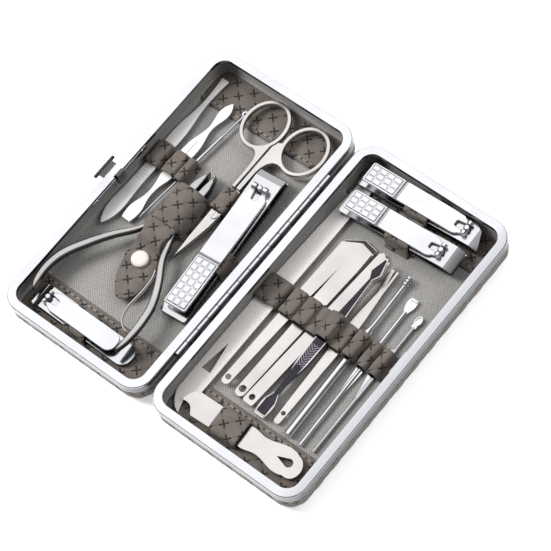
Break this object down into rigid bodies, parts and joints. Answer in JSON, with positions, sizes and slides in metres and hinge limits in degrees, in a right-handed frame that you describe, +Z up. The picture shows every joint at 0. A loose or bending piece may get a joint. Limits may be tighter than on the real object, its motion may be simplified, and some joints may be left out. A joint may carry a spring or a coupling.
{
  "type": "manicure set case",
  "caption": "Framed hinged case with quilted leather cover, lying open, holding a full manicure set: clippers, scissors, nippers, tweezers, files and ear picks.",
  "frame": {"origin": "centre of the open case's footprint on the table, latch pin included", "axes": "+X across both trays towards the right tray, +Y along the hinge away from the viewer, +Z up"},
  "size_m": [0.1788, 0.16, 0.0195],
  "materials": {
    "rim_metal": "polished silver plating",
    "latch_metal": "dark nickel plating",
    "case_leather": "soft matt artificial leather, quilted",
    "strap_leather": "soft matt artificial leather",
    "pan_steel": "plain sheet",
    "lining_cloth": "woven cloth on board",
    "satin_steel": "satin",
    "clipper_chrome": "bright",
    "dark_chrome": "polished, darker",
    "snap_pearl": "pearly cream cap"
  },
  "bodies": {
    "right_half": {"right_rim_frame": "rim_metal", "right_leather_cover": "case_leather", "right_pan": "pan_steel", "right_lining": "lining_cloth", "right_quilted_bands": "case_leather", "right_leather_loops": "strap_leather", "right_hinge_leaf": "rim_metal", "hinge_pin": "rim_metal", "latch_keeper": "rim_metal", "notched_file": "satin_steel", "knife_1": "satin_steel", "knife_2": "satin_steel", "knife_3": "satin_steel", "opener_plate": "satin_steel", "fork_trimmer": "satin_steel", "spiral_ear_pick": "satin_steel", "spatula_ear_pick": "satin_steel", "disc_ear_pick": "satin_steel", "tweezers_lower_arm": "dark_chrome", "corner_clipper_lower_blade": "clipper_chrome", "straight_clipper_lower_blade": "clipper_chrome", "right_clipper_posts": "clipper_chrome"},
    "left_half": {"left_rim_frame": "rim_metal", "left_leather_cover": "case_leather", "left_pan": "pan_steel", "left_lining": "lining_cloth", "left_quilted_bands": "case_leather", "left_leather_loops": "strap_leather", "left_hinge_leaf": "rim_metal", "latch_spring": "rim_metal", "latch_rivets": "rim_metal", "leaf_pusher": "satin_steel", "lance_pusher": "satin_steel", "needle_tool": "satin_steel", "scissors_right_half": "satin_steel", "scissors_screw": "satin_steel", "nipper_rivet": "satin_steel", "nipper_holder": "strap_leather", "snap_stud": "rim_metal", "large_clipper_lower_blade": "clipper_chrome", "small_clipper_lower_blade": "clipper_chrome", "left_clipper_posts": "clipper_chrome"},
    "latch": {"latch_slider": "latch_metal", "latch_pin": "latch_metal"},
    "tweezers_upper": {"tweezers_upper_arm": "dark_chrome"},
    "scissors_left": {"scissors_left_half": "satin_steel"},
    "nipper_right": {"nipper_right_half": "satin_steel", "nipper_spring": "satin_steel"},
    "nipper_left": {"nipper_left_half": "satin_steel"},
    "flap": {"nipper_flap": "strap_leather", "snap_cap": "snap_pearl"},
    "corner_blade": {"corner_clipper_upper_blade": "clipper_chrome"},
    "corner_lever": {"corner_clipper_lever": "clipper_chrome"},
    "straight_blade": {"straight_clipper_upper_blade": "clipper_chrome"},
    "straight_lever": {"straight_clipper_lever": "clipper_chrome"},
    "large_blade": {"large_clipper_upper_blade": "clipper_chrome"},
    "large_lever": {"large_clipper_lever": "clipper_chrome"},
    "small_blade": {"small_clipper_upper_blade": "clipper_chrome"},
    "small_lever": {"small_clipper_lever": "clipper_chrome"}
  },
  "joints": [
    {"name": "case_hinge", "type": "hinge", "parent": "right_half", "child": "left_half", "pos_m": [0.00313, 0, 0.01665], "axis": [0, 1, 0], "range_deg": [0, 180]},
    {"name": "latch_press", "type": "slide", "parent": "left_half", "child": "latch", "axis": [-1, 0, 0], "range_m": [-0.0013, 0], "stiffness_N_per_m": 400},
    {"name": "corner_clipper_squeeze", "type": "hinge", "parent": "right_half", "child": "corner_blade", "pos_m": [0.01183, 0.0676, 0.0078], "axis": [0.0392, -0.9992, 0], "range_deg": [-1.21, 0], "stiffness_Nm_per_rad": 20},
    {"name": "corner_lever_lift", "type": "hinge", "parent": "right_half", "child": "corner_lever", "pos_m": [0.06883, 0.06984, 0.0137], "axis": [0.0392, -0.9992, 0], "range_deg": [-75, 0]},
    {"name": "straight_clipper_squeeze", "type": "hinge", "parent": "right_half", "child": "straight_blade", "pos_m": [0.01333, 0.0518, 0.0078], "axis": [0.0515, -0.9987, 0], "range_deg": [-1.29, 0], "stiffness_Nm_per_rad": 20},
    {"name": "straight_lever_lift", "type": "hinge", "parent": "right_half", "child": "straight_lever", "pos_m": [0.06604, 0.05452, 0.0137], "axis": [0.0515, -0.9987, 0], "range_deg": [-75, 0]},
    {"name": "large_clipper_squeeze", "type": "hinge", "parent": "left_half", "child": "large_blade", "pos_m": [-0.01547, -0.0386, 0.00585], "axis": [0.997, 0.0778, 0], "range_deg": [-0.98, 0], "stiffness_Nm_per_rad": 20},
    {"name": "large_lever_lift", "type": "hinge", "parent": "left_half", "child": "large_lever", "pos_m": [-0.02104, 0.03263, 0.01275], "axis": [0.997, 0.0778, 0], "range_deg": [-75, 0]},
    {"name": "small_clipper_squeeze", "type": "hinge", "parent": "left_half", "child": "small_blade", "pos_m": [-0.01667, -0.0654, 0.00615], "axis": [0.0106, 0.9999, 0], "range_deg": [-1.42, 0], "stiffness_Nm_per_rad": 20},
    {"name": "small_lever_lift", "type": "hinge", "parent": "left_half", "child": "small_lever", "pos_m": [-0.06688, -0.06487, 0.01073], "axis": [0.0106, 0.9999, 0], "range_deg": [-75, 0]},
    {"name": "tweezers_squeeze", "type": "hinge", "parent": "right_half", "child": "tweezers_upper", "pos_m": [0.04704, -0.05202, 0.00602], "axis": [0.9999, -0.0142, 0], "range_deg": [-1.7, 0], "stiffness_Nm_per_rad": 5},
    {"name": "scissors_open", "type": "hinge", "parent": "left_half", "child": "scissors_left", "pos_m": [-0.03247, 0.0116, 0.00535], "axis": [0, 0, -1], "range_deg": [-6, 0]},
    {"name": "nipper_squeeze", "type": "hinge", "parent": "left_half", "child": "nipper_right", "pos_m": [-0.04598, 0.0074, 0.0083], "axis": [0, 0.0785, 0.9969], "range_deg": [-2.4, 0], "stiffness_Nm_per_rad": 6},
    {"name": "nipper_left_squeeze", "type": "hinge", "parent": "left_half", "child": "nipper_left", "pos_m": [-0.04598, 0.0074, 0.0083], "axis": [0, 0.0785, 0.9969], "range_deg": [0, 2.4]},
    {"name": "flap_lift", "type": "hinge", "parent": "left_half", "child": "flap", "pos_m": [-0.04528, -0.006, 0.0127], "axis": [1, 0, 0], "range_deg": [-120, 0]}
  ],
  "couplings": [
    {"joint": "nipper_left_squeeze", "follows": "nipper_squeeze", "ratio": -1}
  ]
}
